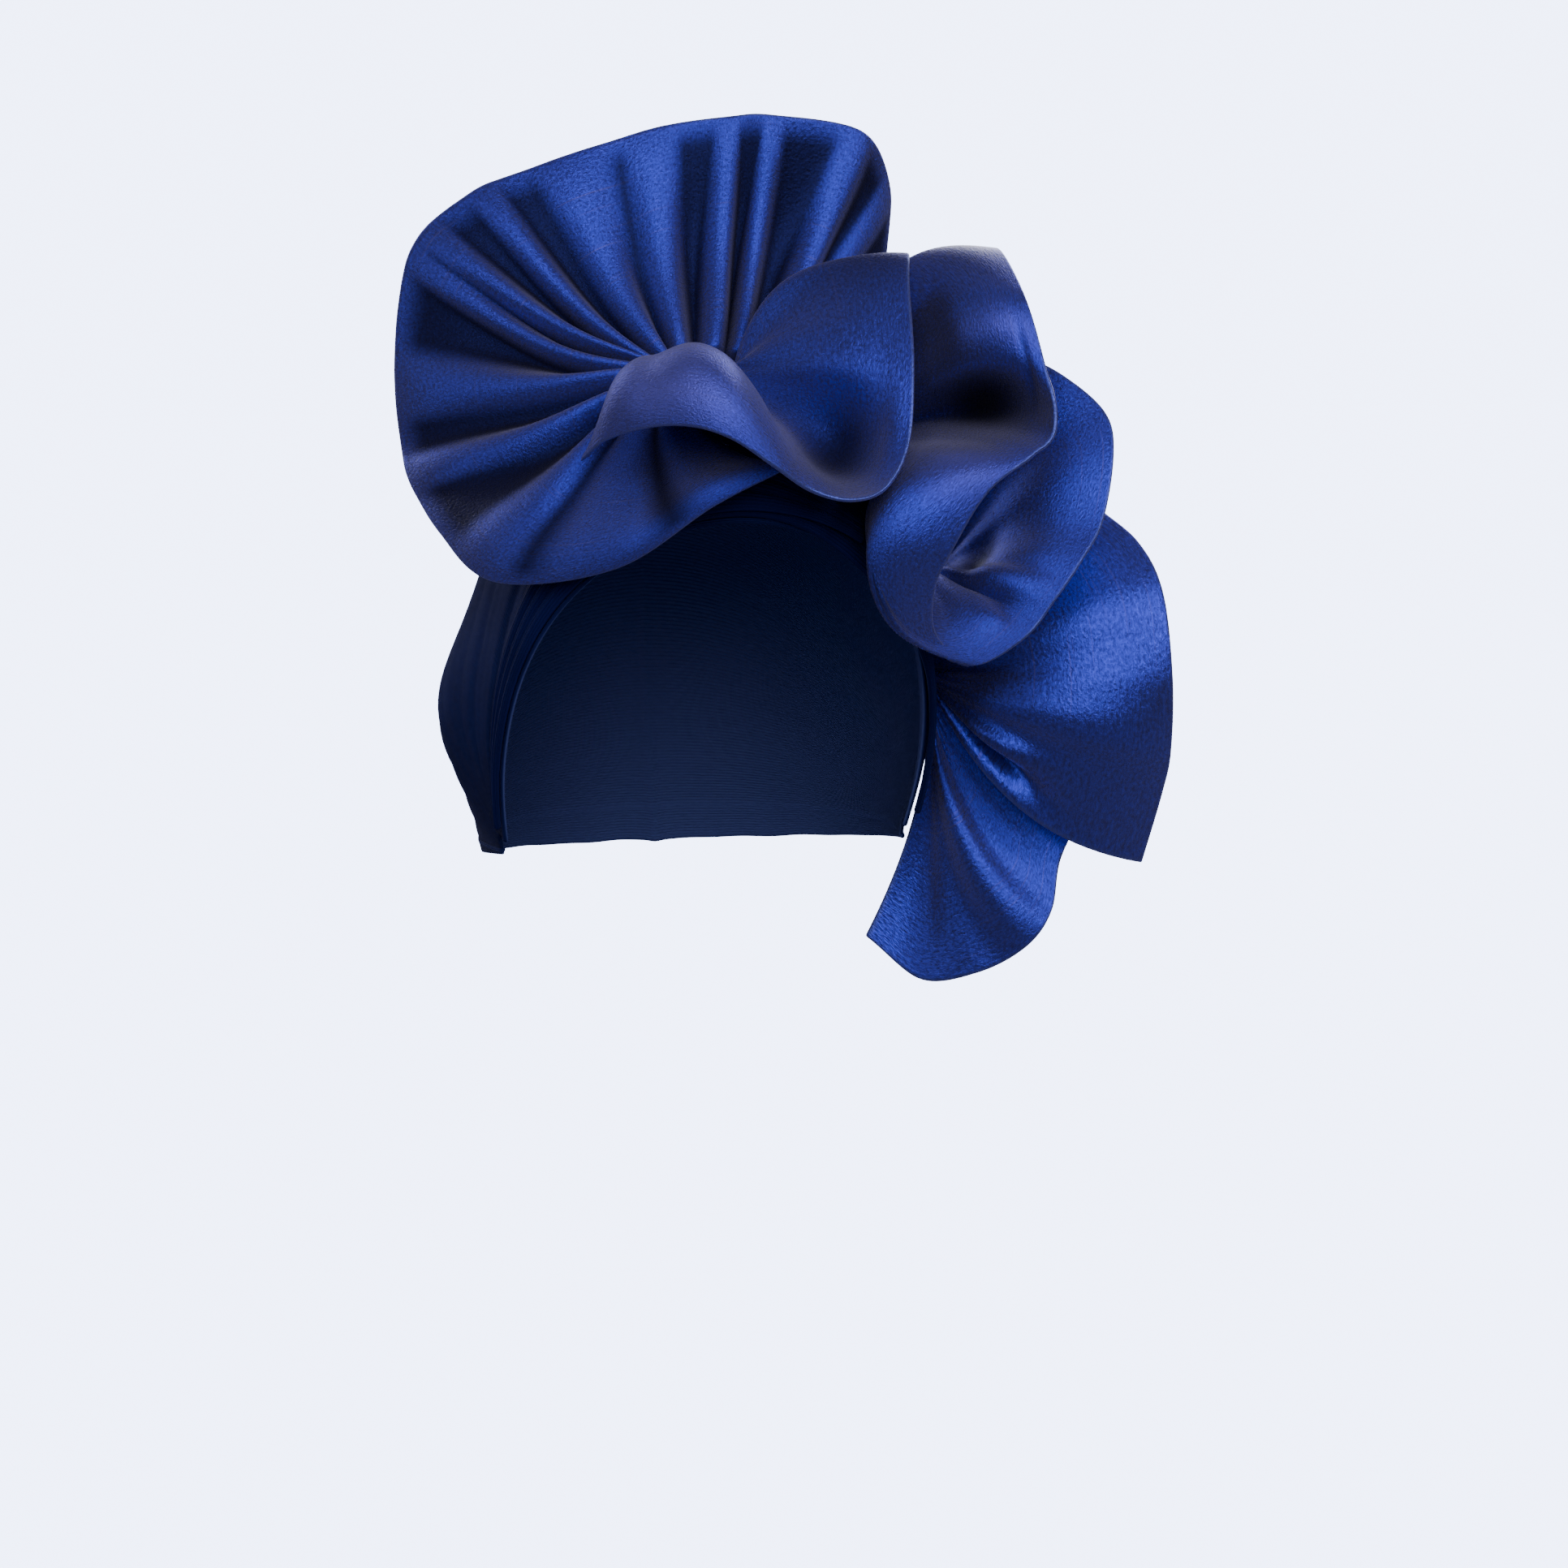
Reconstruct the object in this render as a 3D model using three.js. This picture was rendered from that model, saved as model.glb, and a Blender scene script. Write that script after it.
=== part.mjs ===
// Tied gele head tie: a stretch cap with folded brow bands, and a ruffle of stiff satin gathered to its front
// and left. Millimetres. The brow faces -Y, +Z is up and +X is the side with the ruffle's flaps. The origin
// is in the middle of the cap's hollow, 46 mm below the top of the face edge.
import * as THREE from "three";

// Driving dimensions.
const CORNER_HALF_WIDTH = 60; // the cap's lower corners, in front of and below the ears
const CORNER_Y = -25;
const CORNER_Z = -56;
const TEMPLE_SWELL = 3; // how much wider the cap is between its corners and its crown
const BACK_SWELL = 4; // and how much more behind the ears
const EAR = { y: 2, z: -18, spread: 20, height: 12 }; // the bump of the cap over each ear
const CAP_WALL = 1.5; // stretch jersey, doubled
const BAND_WALL = 2; // folded jersey
const SATIN_WALL = 2; // stiff satin with a bonded backing
const GAP = 0.4; // between pieces that lie on each other

// The ruffle is laid out in the front view: across to the right, up, and out towards the eye. The eye is
// 900 mm from the origin, a little to one side of the brow and a little above it.
const VIEW_TURN = THREE.MathUtils.degToRad(-12);
const VIEW_RISE = THREE.MathUtils.degToRad(10);
const EYE_DISTANCE = 900;
const EYE_ACROSS = 28.5; // the middle of the view, from the origin
const EYE_UP = -41.5;

const RIGHT = new THREE.Vector3(Math.cos(VIEW_TURN), Math.sin(VIEW_TURN), 0);
const OUT = new THREE.Vector3(
  Math.sin(VIEW_TURN) * Math.cos(VIEW_RISE),
  -Math.cos(VIEW_TURN) * Math.cos(VIEW_RISE),
  Math.sin(VIEW_RISE),
);
const UP = new THREE.Vector3().crossVectors(OUT, RIGHT);

// A point of the front view as a point in space. What is nearer to the eye looks larger, so it is scaled
// back.
function sight([across, up, out]) {
  const scale = 1 - out / EYE_DISTANCE;
  return new THREE.Vector3()
    .addScaledVector(RIGHT, scale * (across - EYE_ACROSS) + EYE_ACROSS)
    .addScaledVector(UP, scale * (up - EYE_UP) + EYE_UP)
    .addScaledVector(OUT, out);
}

// A table's rows at a place between them, 0 at the first row and 1 at the last, on a smooth curve through all
// rows.
function rowAt(rows, place) {
  const along = THREE.MathUtils.clamp(place, 0, 1) * (rows.length - 1);
  const i = Math.min(Math.floor(along), rows.length - 2);
  const f = along - i;
  const before = rows[i - 1] ?? rows[i].map((v, k) => 2 * v - rows[i + 1][k]);
  const after = rows[i + 2] ?? rows[i + 1].map((v, k) => 2 * v - rows[i][k]);
  return rows[i].map((a, k) => {
    const b = rows[i + 1][k];
    const m0 = (b - before[k]) / 2;
    const m1 = (after[k] - a) / 2;
    return a + f * (m0 + f * (3 * (b - a) - 2 * m0 - m1 + f * (2 * (a - b) + m0 + m1)));
  });
}

// A closed wall of the given thickness about a surface, which is a function of two places from 0 to 1.
function wall(surface, columns, rows, thickness) {
  const point = (i, j) => surface(i / columns, j / rows);
  const step = 1e-3;
  const normal = (i, j) => {
    const u = i / columns;
    const v = j / rows;
    const du = surface(Math.min(u + step, 1), v).sub(surface(Math.max(u - step, 0), v));
    const dv = surface(u, Math.min(v + step, 1)).sub(surface(u, Math.max(v - step, 0)));
    return du.cross(dv).normalize();
  };
  const positions = [];
  const index = [];
  const stride = rows + 1;
  const layer = (columns + 1) * stride;
  for (const side of [0.5, -0.5])
    for (let i = 0; i <= columns; i++)
      for (let j = 0; j <= rows; j++)
        positions.push(...point(i, j).addScaledVector(normal(i, j), side * thickness));
  const quad = (a, b, c, d) => index.push(a, b, c, a, c, d);
  for (let i = 0; i < columns; i++)
    for (let j = 0; j < rows; j++) {
      const a = i * stride + j;
      quad(a, a + stride, a + stride + 1, a + 1);
      quad(layer + a, layer + a + 1, layer + a + stride + 1, layer + a + stride);
    }
  for (let i = 0; i < columns; i++) {
    const a = i * stride;
    const b = a + rows;
    quad(a, layer + a, layer + a + stride, a + stride);
    quad(b, b + stride, layer + b + stride, layer + b);
  }
  for (let j = 0; j < rows; j++) {
    const b = columns * stride + j;
    quad(j, j + 1, layer + j + 1, layer + j);
    quad(b, layer + b, layer + b + 1, b + 1);
  }
  const geometry = new THREE.BufferGeometry();
  geometry.setAttribute("position", new THREE.Float32BufferAttribute(positions, 3));
  geometry.setIndex(index);
  geometry.computeVertexNormals();
  return geometry;
}

// The cap's middle line from the brow over the crown to the nape. Columns: y, z, share of the back swell.
const CAP_PROFILE = [
  [-78, 46, 0],
  [-67, 66, 0.35],
  [-45, 81, 0.7],
  [-14, 88, 0.9],
  [20, 87, 1],
  [54, 74, 1],
  [80, 50, 1],
  [91, 18, 0.9],
  [90, -18, 0.7],
  [82, -48, 0.5],
  [70, -72, 0.3],
];

// The cap's surface is made of arches between its lower corners. back picks the arch, from the face edge (0)
// to the nape hem (1). turn goes along it, from the right corner (0) over the middle (0.5) to the left (1).
function onCap(back, turn, lift = 0) {
  const [middleY, middleZ, swell] = rowAt(CAP_PROFILE, back);
  const rise = Math.sin(Math.PI * turn);
  const y = CORNER_Y + (middleY - CORNER_Y) * rise;
  const z = CORNER_Z + (middleZ - CORNER_Z) * rise;
  const fromEar = (y - EAR.y) ** 2 + (z - EAR.z) ** 2;
  const half =
    CORNER_HALF_WIDTH +
    (TEMPLE_SWELL + BACK_SWELL * swell) * Math.sin(Math.PI * rise) +
    EAR.height * Math.exp(-fromEar / (2 * EAR.spread ** 2));
  const x = Math.sign(turn - 0.5) * half * Math.sqrt(Math.max(0, 1 - rise ** 3.5));
  const point = new THREE.Vector3(x, y, z);
  const outward = new THREE.Vector3(x, y - 5, z + 10).normalize();
  return point.addScaledVector(outward, lift);
}

// How far the middle of a satin sheet stands off the middle of the cap's wall where it is sewn on.
const SEWN_LIFT = CAP_WALL / 2 + GAP + SATIN_WALL * 0.8;

// The ruffle's sheets are ribs side by side. A rib is a smooth curve from the free rim to the edge sewn to
// the cap. Columns: rim across, up, out; lip across, up, out; fold across, up, out; sewn edge back, turn.
const FRONT_CURL = [
  [-33.5, 58.5, 93, -31, 63, 97, -24, 70, 99, 0.178, 0.447],
  [-26, 65, 103, -27, 79, 105, -21, 94, 101, 0.175, 0.455],
  [-12, 69, 113, -13, 84, 116, -10, 106, 111, 0.18, 0.465],
  [1, 69, 118, 0, 84, 121, 1, 112, 115, 0.18, 0.475],
  [13, 65, 119, 14, 80, 121, 12, 105, 112, 0.185, 0.485],
  [25, 57, 115, 27, 69, 113, 22, 88, 97, 0.19, 0.49],
  [37, 49, 107, 37, 58, 101, 24, 76, 82, 0.195, 0.495],
  [49.5, 46, 104, 46, 52, 87, 26, 74, 66, 0.2, 0.5],
  [60, 50, 97, 54, 57, 81, 28, 78, 62, 0.205, 0.505],
  [67, 64, 90, 56, 71, 79, 29, 84, 65, 0.21, 0.51],
  [68, 88, 84, 56, 88, 80, 28, 90, 69, 0.215, 0.515],
  [66.5, 112, 75, 54, 108, 74, 26, 99, 64, 0.22, 0.52],
  [66.5, 121, 68, 50, 122, 67, 18, 116, 59, 0.225, 0.525],
  [66, 119, 64, 50, 119, 62, 24, 112, 54, 0.228, 0.53],
  [65, 109, 61, 50, 107, 57, 36, 99, 49, 0.23, 0.545],
];
const SIDE_SCROLL = [
  [91, 114, 34, 78, 116, 32, 64, 106, 30, 0.255, 0.65],
  [94, 123, 56, 80, 124.5, 54, 52, 130, 45, 0.255, 0.655],
  [101.5, 110, 74, 90, 113, 75, 75, 110, 70, 0.25, 0.662],
  [107.75, 90, 79, 95, 93, 79, 77, 90, 68, 0.24, 0.67],
  [111.75, 72, 83, 97, 75, 60, 74, 75, 42, 0.235, 0.675],
  [105, 60, 87, 92, 65, 80, 72, 66, 62, 0.22, 0.68],
  [91, 49, 91, 80, 57, 94, 60, 62, 86, 0.19, 0.69],
  [80, 31, 91, 57, 40, 101, 49, 55, 101, 0.175, 0.7],
  [74.5, 18.75, 86, 46, 20, 99, 46, 42, 106, 0.17, 0.715],
  [75, 4.25, 79, 56, -3, 92, 54, 26, 101, 0.162, 0.735],
  [86.75, -4.5, 72, 82, -3, 74, 74, 14, 76, 0.15, 0.76],
  [102, 3.5, 68, 94, 8, 68, 80, 22, 68, 0.155, 0.775],
  [110, 13, 66, 100, 16, 64, 82, 26, 66, 0.155, 0.79],
  [119, 26, 63, 106, 27, 60, 84, 30, 60, 0.17, 0.8],
  [126, 39, 57, 110, 37, 56, 86, 34, 54, 0.185, 0.81],
  [129.5, 59.5, 52, 112, 50, 53, 87, 38, 49, 0.2, 0.82],
  [127, 72.5, 47, 110, 60, 49, 86, 42, 43, 0.21, 0.83],
  [114, 84, 41, 101, 66, 44, 82, 38, 35, 0.22, 0.837],
  [98, 92, 33, 88, 68, 36, 75, 42, 32, 0.225, 0.843],
];
const SIDE_FLAP = [
  [104, 72, 8, 96, 56, 16, 80, 30, 22, 0.24, 0.853],
  [114, 60, 12, 102, 46, 20, 84, 24, 24, 0.24, 0.858],
  [122, 46, 16, 108, 36, 26, 88, 16, 26, 0.24, 0.863],
  [137, 33, 22, 118, 24, 35, 92, 8, 29, 0.24, 0.869],
  [145, 17.5, 28, 124, 12, 41, 94, 0, 31, 0.24, 0.875],
  [148, -8, 31, 126, -6, 44, 96, -10, 32, 0.24, 0.881],
  [147.25, -31, 26, 126, -26, 40, 96, -20, 30, 0.24, 0.887],
  [144.5, -44, 18, 122, -40, 31, 95, -30, 26, 0.24, 0.892],
  [138.25, -65, 6, 116, -62, 17, 93, -50, 15, 0.24, 0.897],
];
const TAIL_FLAP = [
  [118, -38, 0, 104, -30, 4, 86, -18, 4, 0.275, 0.893],
  [119, -50, 1, 104, -46, 3, 89, -34, 3, 0.268, 0.901],
  [113, -65, 3, 102, -58, 4, 88, -44, 3, 0.26, 0.909],
  [110.5, -80, 5, 100, -68, 4, 86, -48, 2, 0.255, 0.916],
  [103, -91, 5, 92, -74, 3, 84, -52, 0, 0.25, 0.921],
  [88, -99, 3, 82, -78, 1, 80, -56, -2, 0.25, 0.926],
  [70, -101, -1, 72, -80, -2, 76, -58, -4, 0.25, 0.931],
  [54, -88, -8, 61, -74, -7, 70, -54, -6, 0.25, 0.938],
];

// A rib sheet's surface, from its first rib to its last and from the rim to the sewn edge.
function ribSheet(table) {
  return (place, depth) => {
    const row = rowAt(table, place);
    const near = 1 - depth;
    return sight(row.slice(0, 3))
      .multiplyScalar(near ** 3)
      .addScaledVector(sight(row.slice(3, 6)), 3 * near * near * depth)
      .addScaledVector(sight(row.slice(6, 9)), 3 * near * depth * depth)
      .addScaledVector(onCap(row[9], row[10], SEWN_LIFT), depth ** 3);
  };
}

// Ridges of the fan, from its end behind the curl round to the brow.
// Columns: sewn edge back, turn; bend across, up, out; rim across, up, out; ridge height.
const FAN = [
  [0.255, 0.575, 50, 96, 20, 59, 115, 10, 0],
  [0.255, 0.565, 47, 108, 26, 60.5, 142, 15, 4],
  [0.255, 0.55, 40, 118, 29, 52, 159, 26, 6],
  [0.255, 0.53, 22, 122, 32, 25, 164, 36, 5],
  [0.255, 0.503, 10, 122, 36, 11.5, 163.5, 38, 5],
  [0.255, 0.464, -9, 118, 42, -10.75, 160, 40, 6],
  [0.25, 0.444, -23, 110, 50, -43, 149.5, 42, 7],
  [0.245, 0.434, -35, 102, 56, -66, 141, 44, 6],
  [0.24, 0.427, -43, 97, 60, -84, 126, 44, 6],
  [0.23, 0.42, -47, 90, 64, -90, 104, 42, 5],
  [0.215, 0.416, -50, 80, 68, -90, 76, 42, 6],
  [0.198, 0.413, -48, 66, 79, -87, 55, 46, 6],
  [0.187, 0.413, -45, 56, 90, -77, 36, 62, 5],
  [0.178, 0.416, -38, 49, 98, -59, 21, 78, 3],
  [0.168, 0.424, -18, 48, 106, -23, 25.5, 95, 2],
  [0.16, 0.436, -2, 56, 106, 6.5, 44.5, 101, 1],
  [0.16, 0.452, 14, 62, 102, 27, 55, 100, 0],
];
const FOLDS_AT_SEAM = 0.12; // the ridges' height at the sewn edge, as a share
const FOLDS_REACH = 0.65; // how far round a half circle the ridges' height has gone at the rim

function fan(place, depth) {
  const row = rowAt(FAN, place);
  const wave = Math.cos(2 * Math.PI * place * (FAN.length - 1)) * row[8];
  const swell = Math.sin(Math.PI * FOLDS_REACH * (1 - depth));
  const near = 1 - depth;
  return sight([row[5], row[6], row[7] + wave * swell])
    .multiplyScalar(near * near)
    .addScaledVector(sight([row[2], row[3], row[4] + wave * swell]), 2 * near * depth)
    .addScaledVector(onCap(row[0], row[1], SEWN_LIFT + 0.5 + wave * FOLDS_AT_SEAM), depth * depth);
}

// The folded bands along the face edge. Columns: turn at the foot and at the end, width as a share of the
// cap's back, lift where it crosses the other, how far it droops over the brow, number of tucks.
const TUCK_HEIGHT = 0.7;
const BANDS = {
  brow_band_left: [0.97, 0.45, 0.045, 0, 8, 2],
  brow_band_right: [0.03, 0.64, 0.09, 3.3, 0, 3],
};

// A band's surface, across it from the face edge and along it from its foot. It is narrow at both ends.
function browBand([foot, end, width, climb, droop, tucks]) {
  return (side, along) => {
    const turn = foot + (end - foot) * along;
    const crossing = THREE.MathUtils.smoothstep(along, 0.5, 0.67);
    const atFoot = THREE.MathUtils.smoothstep(along, 0, 0.2);
    const atEnd = THREE.MathUtils.smoothstep(along, 0.6, 1);
    const here = width * (0.35 + 0.65 * atFoot - 0.7 * atEnd);
    const tuck = TUCK_HEIGHT * Math.abs(Math.sin(Math.PI * tucks * side));
    const lift = CAP_WALL / 2 + GAP + BAND_WALL / 2 + 0.2 + tuck + climb * crossing;
    const edge = onCap(0, turn, lift);
    const forward = edge.clone().sub(onCap(0.02, turn, lift)).normalize();
    const hang = droop * Math.sin(Math.PI * along) ** 4 * (1 - 0.5 * side);
    return onCap(0.004 + here * side, turn, lift).addScaledVector(forward, hang);
  };
}

const satin = new THREE.MeshStandardMaterial({ color: 0x1e3584, roughness: 0.45, metalness: 0.2 });
const capJersey = new THREE.MeshStandardMaterial({ color: 0x0a0d24, roughness: 0.9, metalness: 0 });
const bandJersey = new THREE.MeshStandardMaterial({ color: 0x0c1238, roughness: 0.85, metalness: 0 });

const group = new THREE.Group();
function add(name, geometry, material) {
  const mesh = new THREE.Mesh(geometry, material);
  mesh.name = name;
  group.add(mesh);
}

// The cap stops just short of its corners, where all arches meet.
const cornerCut = (share) => 0.015 + 0.97 * share;
add("cap", wall((back, share) => onCap(back, cornerCut(share)), 20, 20, CAP_WALL), capJersey);
for (const [name, row] of Object.entries(BANDS)) add(name, wall(browBand(row), 6, 22, BAND_WALL), bandJersey);
add("fan_ruffle", wall(fan, 5 * (FAN.length - 1), 5, SATIN_WALL), satin);
const SHEETS = {
  front_curl: [FRONT_CURL, 3, 8],
  side_scroll: [SIDE_SCROLL, 3, 8],
  side_flap: [SIDE_FLAP, 3, 7],
  tail_flap: [TAIL_FLAP, 3, 7],
};
for (const [name, [table, perRib, depth]] of Object.entries(SHEETS))
  add(name, wall(ribSheet(table), perRib * (table.length - 1), depth, SATIN_WALL), satin);

export default group;
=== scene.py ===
import bpy
import numpy as np
from mathutils import Matrix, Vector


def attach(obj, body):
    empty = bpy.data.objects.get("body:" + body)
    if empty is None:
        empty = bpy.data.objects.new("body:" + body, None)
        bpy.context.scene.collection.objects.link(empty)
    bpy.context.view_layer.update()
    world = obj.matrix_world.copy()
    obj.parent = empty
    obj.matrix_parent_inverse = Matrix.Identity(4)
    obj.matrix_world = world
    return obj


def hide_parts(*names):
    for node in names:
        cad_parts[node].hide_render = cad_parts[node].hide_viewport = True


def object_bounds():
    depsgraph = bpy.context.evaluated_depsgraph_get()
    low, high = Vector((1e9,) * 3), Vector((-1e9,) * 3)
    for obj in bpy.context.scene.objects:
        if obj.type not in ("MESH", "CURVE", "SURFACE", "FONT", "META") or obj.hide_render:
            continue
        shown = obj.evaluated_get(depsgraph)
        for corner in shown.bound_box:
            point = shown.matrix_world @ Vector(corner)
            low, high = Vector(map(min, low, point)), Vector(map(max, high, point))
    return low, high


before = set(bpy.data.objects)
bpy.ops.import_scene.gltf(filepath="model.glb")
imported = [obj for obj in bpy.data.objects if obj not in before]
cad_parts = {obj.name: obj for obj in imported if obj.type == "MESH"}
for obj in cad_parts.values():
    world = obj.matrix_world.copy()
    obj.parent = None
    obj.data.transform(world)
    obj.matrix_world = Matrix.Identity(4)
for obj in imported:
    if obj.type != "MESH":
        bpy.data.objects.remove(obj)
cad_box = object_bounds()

# The cap. A close cap of doubled navy jersey, cut as a dome and drawn down to a hem at the nape. Its
# cloth is eased into soft folds that run up from the two lower corners and fade over the crown.

# The cap's middle line in metres, from the brow over the crown to the nape.
# Columns: y, z, share of the back swell.
CAP_PROFILE = [
    (-0.078, 0.046, 0.00),
    (-0.067, 0.066, 0.35),
    (-0.045, 0.081, 0.70),
    (-0.014, 0.088, 0.90),
    (0.020, 0.087, 1.00),
    (0.054, 0.074, 1.00),
    (0.080, 0.050, 1.00),
    (0.091, 0.018, 0.90),
    (0.090, -0.018, 0.70),
    (0.082, -0.048, 0.50),
    (0.070, -0.072, 0.30),
]
CORNER = (0.060, -0.025, -0.056)  # half the width between the lower corners, their y and their z
ARCH_SWELL = 0.003  # how far every arch swells past its corners, and how much more the ones at the back do
BACK_SWELL = 0.004
ARCH_POWER = 3.5  # the higher, the squarer an arch's shoulders
SIDE_BUMP = (0.002, -0.018, 0.020, 0.012)  # y, z, spread and height of the bump low on each side
CAP_MIDDLE = (0.005, -0.010)  # y and z of the point that the cap's cloth faces away from


def row_at(rows, place):
    """A table's rows at places between them, 0 at the first row and 1 at the last, on a smooth curve
    through all rows: between two rows it is the cubic whose slope at each is half the difference of that
    row's neighbours."""
    rows = np.asarray(rows, dtype=float)
    rows = np.vstack([2 * rows[0] - rows[1], rows, 2 * rows[-1] - rows[-2]])
    along = np.clip(place, 0, 1) * (len(rows) - 3)
    i = np.minimum(along.astype(int), len(rows) - 4)
    f = (along - i)[..., None]
    before, a, b, after = (rows[i + k] for k in range(4))
    start, end = (b - before) / 2, (after - a) / 2
    return a + f * (start + f * (3 * (b - a) - 2 * start - end + f * (2 * (a - b) + start + end)))


def smooth_step(low, high, value):
    """0 below low, 1 above high and an even S between them."""
    share = np.clip((value - low) / (high - low), 0, 1)
    return share * share * (3 - 2 * share)


def unit(vectors):
    """Vectors divided by their own lengths, so that each is one long."""
    return vectors / np.maximum(np.linalg.norm(vectors, axis=-1, keepdims=True), 1e-12)


def on_cap(back, turn, lift):
    """The cap's surface as arches between its lower corners. back picks the arch, from the face edge (0)
    to the nape hem (1), and turn goes along it from the right corner (0) to the left (1). An arch rises
    as the sine of its turn, and its width goes as the square root of one less a power of that rise. A
    bell-shaped bump widens it low on each side. lift moves a point straight off the cap."""
    profile = row_at(CAP_PROFILE, back)
    rise = np.sin(np.pi * turn)
    y = CORNER[1] + (profile[..., 0] - CORNER[1]) * rise
    z = CORNER[2] + (profile[..., 1] - CORNER[2]) * rise
    bump_y, bump_z, spread, height = SIDE_BUMP
    bump = height * np.exp(-((y - bump_y) ** 2 + (z - bump_z) ** 2) / (2 * spread**2))
    half = CORNER[0] + (ARCH_SWELL + BACK_SWELL * profile[..., 2]) * np.sin(np.pi * rise) + bump
    x = np.sign(turn - 0.5) * half * np.sqrt(np.maximum(0, 1 - rise**ARCH_POWER))
    outward = unit(np.stack([x, y - CAP_MIDDLE[0], z - CAP_MIDDLE[1]], axis=-1))
    return np.stack([x, y, z], axis=-1) + outward * np.asarray(lift)[..., None]


def grid(columns, rows):
    """Two arrays of places from 0 to 1, one along a sheet's columns and one along its rows."""
    return np.meshgrid(np.linspace(0, 1, columns + 1), np.linspace(0, 1, rows + 1), indexing="ij")


def normals(middle):
    """The unit normals of a grid of points: the cross product of its slopes along columns and rows."""
    return unit(np.cross(np.gradient(middle, axis=0), np.gradient(middle, axis=1)))


def cloth(name, middle, wall, weave, painted_light_and_shade=0.0):
    """A closed wall of cloth about a grid of middle points. Both faces lie half the wall off the middle
    along its normal, and a rounded edge joins them: the last ring of each face is turned outward by 45
    degrees and the ring between them by 90. The UV map spreads the weave's length and width, in metres,
    over the grid. Three attributes go with it: the painted light and shade at a point, from painted
    highlight (-1) to painted shade (1), as dents says, its distance from the nearest raw edge in
    millimetres, and 1 on the inner face. The last row is sewn down, so it isn't raw."""
    across, along = np.gradient(middle, axis=0), np.gradient(middle, axis=1)
    normal = normals(middle)
    out = np.zeros((middle.shape[0] + 2, middle.shape[1] + 2, 3))
    out[0, 1:-1] -= unit(across[0])
    out[-1, 1:-1] += unit(across[-1])
    out[1:-1, 0] -= unit(along[:, 0])
    out[1:-1, -1] += unit(along[:, -1])
    for i in (0, -1):
        for j in (0, -1):
            side = 1 if i else -1
            end = 1 if j else -1
            out[i, j] = unit(side * unit(across[i, j]) + end * unit(along[i, j]))
    columns, rows = out.shape[:2]
    ring = np.linalg.norm(out, axis=-1, keepdims=True) > 0.5
    pad = ((1, 1), (1, 1), (0, 0))
    middle, normal = np.pad(middle, pad, mode="edge"), np.pad(normal, pad, mode="edge")
    slant = np.sqrt(0.5)
    tilt = np.where(ring, slant, 1.0)
    front = middle + wall / 2 * (normal * tilt + out * slant)
    back = middle + wall / 2 * (-normal * tilt + out * slant)
    edge = middle + wall / 2 * out

    index = np.arange(columns * rows).reshape(columns, rows)
    border = np.concatenate([index[:-1, 0], index[-1, :-1], index[:0:-1, -1], index[0, :0:-1]])
    rim = 2 * columns * rows + np.arange(len(border))
    a, b, c, d = index[:-1, :-1], index[1:, :-1], index[1:, 1:], index[:-1, 1:]
    next_border, next_rim = np.roll(border, -1), np.roll(rim, -1)
    faces = np.concatenate([
        np.stack([a, b, c, d], axis=-1).reshape(-1, 4),
        np.stack([a, d, c, b], axis=-1).reshape(-1, 4) + columns * rows,
        np.stack([next_border, border, rim, next_rim], axis=-1),
        np.stack([border + columns * rows, next_border + columns * rows, next_rim, rim], axis=-1),
    ])
    points = np.concatenate([front.reshape(-1, 3), back.reshape(-1, 3), edge.reshape(-1, 3)[border]])
    u, v = grid(columns - 1, rows - 1)
    uv = np.stack([u * weave[0], v * weave[1]], axis=-1).reshape(-1, 2)
    uv = np.concatenate([uv, uv, uv[border]])

    mesh = bpy.data.meshes.new(name)
    mesh.vertices.add(len(points))
    mesh.vertices.foreach_set("co", points.astype(np.float32).ravel())
    mesh.loops.add(faces.size)
    mesh.loops.foreach_set("vertex_index", faces.astype(np.int32).ravel())
    mesh.polygons.add(len(faces))
    mesh.polygons.foreach_set("loop_start", np.arange(0, faces.size, 4, dtype=np.int32))
    mesh.uv_layers.new(name="cloth_mm")
    mesh.update(calc_edges=True)
    uv_mm = (1000 * uv[faces.ravel()]).astype(np.float32)
    mesh.uv_layers["cloth_mm"].data.foreach_set("uv", uv_mm.ravel())
    painted_light_and_shade = np.pad(np.broadcast_to(painted_light_and_shade, middle[1:-1, 1:-1].shape[:2]), 1, mode="edge").ravel()
    edge_mm = 1000 * np.minimum(np.minimum(uv[:, 0], weave[0] - uv[:, 0]), uv[:, 1])
    inner = np.repeat([0.0, 1.0, 0.0], [painted_light_and_shade.size, painted_light_and_shade.size, len(border)])
    painted_light_and_shade = np.concatenate([painted_light_and_shade, painted_light_and_shade, painted_light_and_shade[border]])
    for label, value in (("painted_light_and_shade", painted_light_and_shade), ("edge_mm", edge_mm), ("inner", inner)):
        attribute = mesh.attributes.new(label, "FLOAT", "POINT")
        attribute.data.foreach_set("value", value.astype(np.float32))
    mesh.validate()
    mesh.shade_smooth()
    piece = bpy.data.objects.new(name, mesh)
    bpy.context.collection.objects.link(piece)
    return piece


def linear(colour):
    """An sRGB hex colour as linear red, green, blue and an alpha of 1, by the sRGB curve: a straight line
    near black and a power of 2.4 above it."""
    parts = [int(colour[i : i + 2], 16) / 255 for i in (1, 3, 5)]
    return [p / 12.92 if p <= 0.04045 else ((p + 0.055) / 1.055) ** 2.4 for p in parts] + [1.0]


def add(tree, kind, settings=None, **links):
    """Add a node. settings sets its properties, and its sockets by name. A link's value is an output
    socket, and its name is the input's, with _ for a space, or _ and the input's number."""
    node = tree.nodes.new(kind)
    for name, value in (settings or {}).items():
        if name in node.inputs:
            node.inputs[name].default_value = value
        else:
            setattr(node, name, value)
    for name, output in links.items():
        socket = node.inputs[int(name[1:])] if name[0] == "_" else node.inputs[name.replace("_", " ")]
        tree.links.new(output, socket)
    return node


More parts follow.
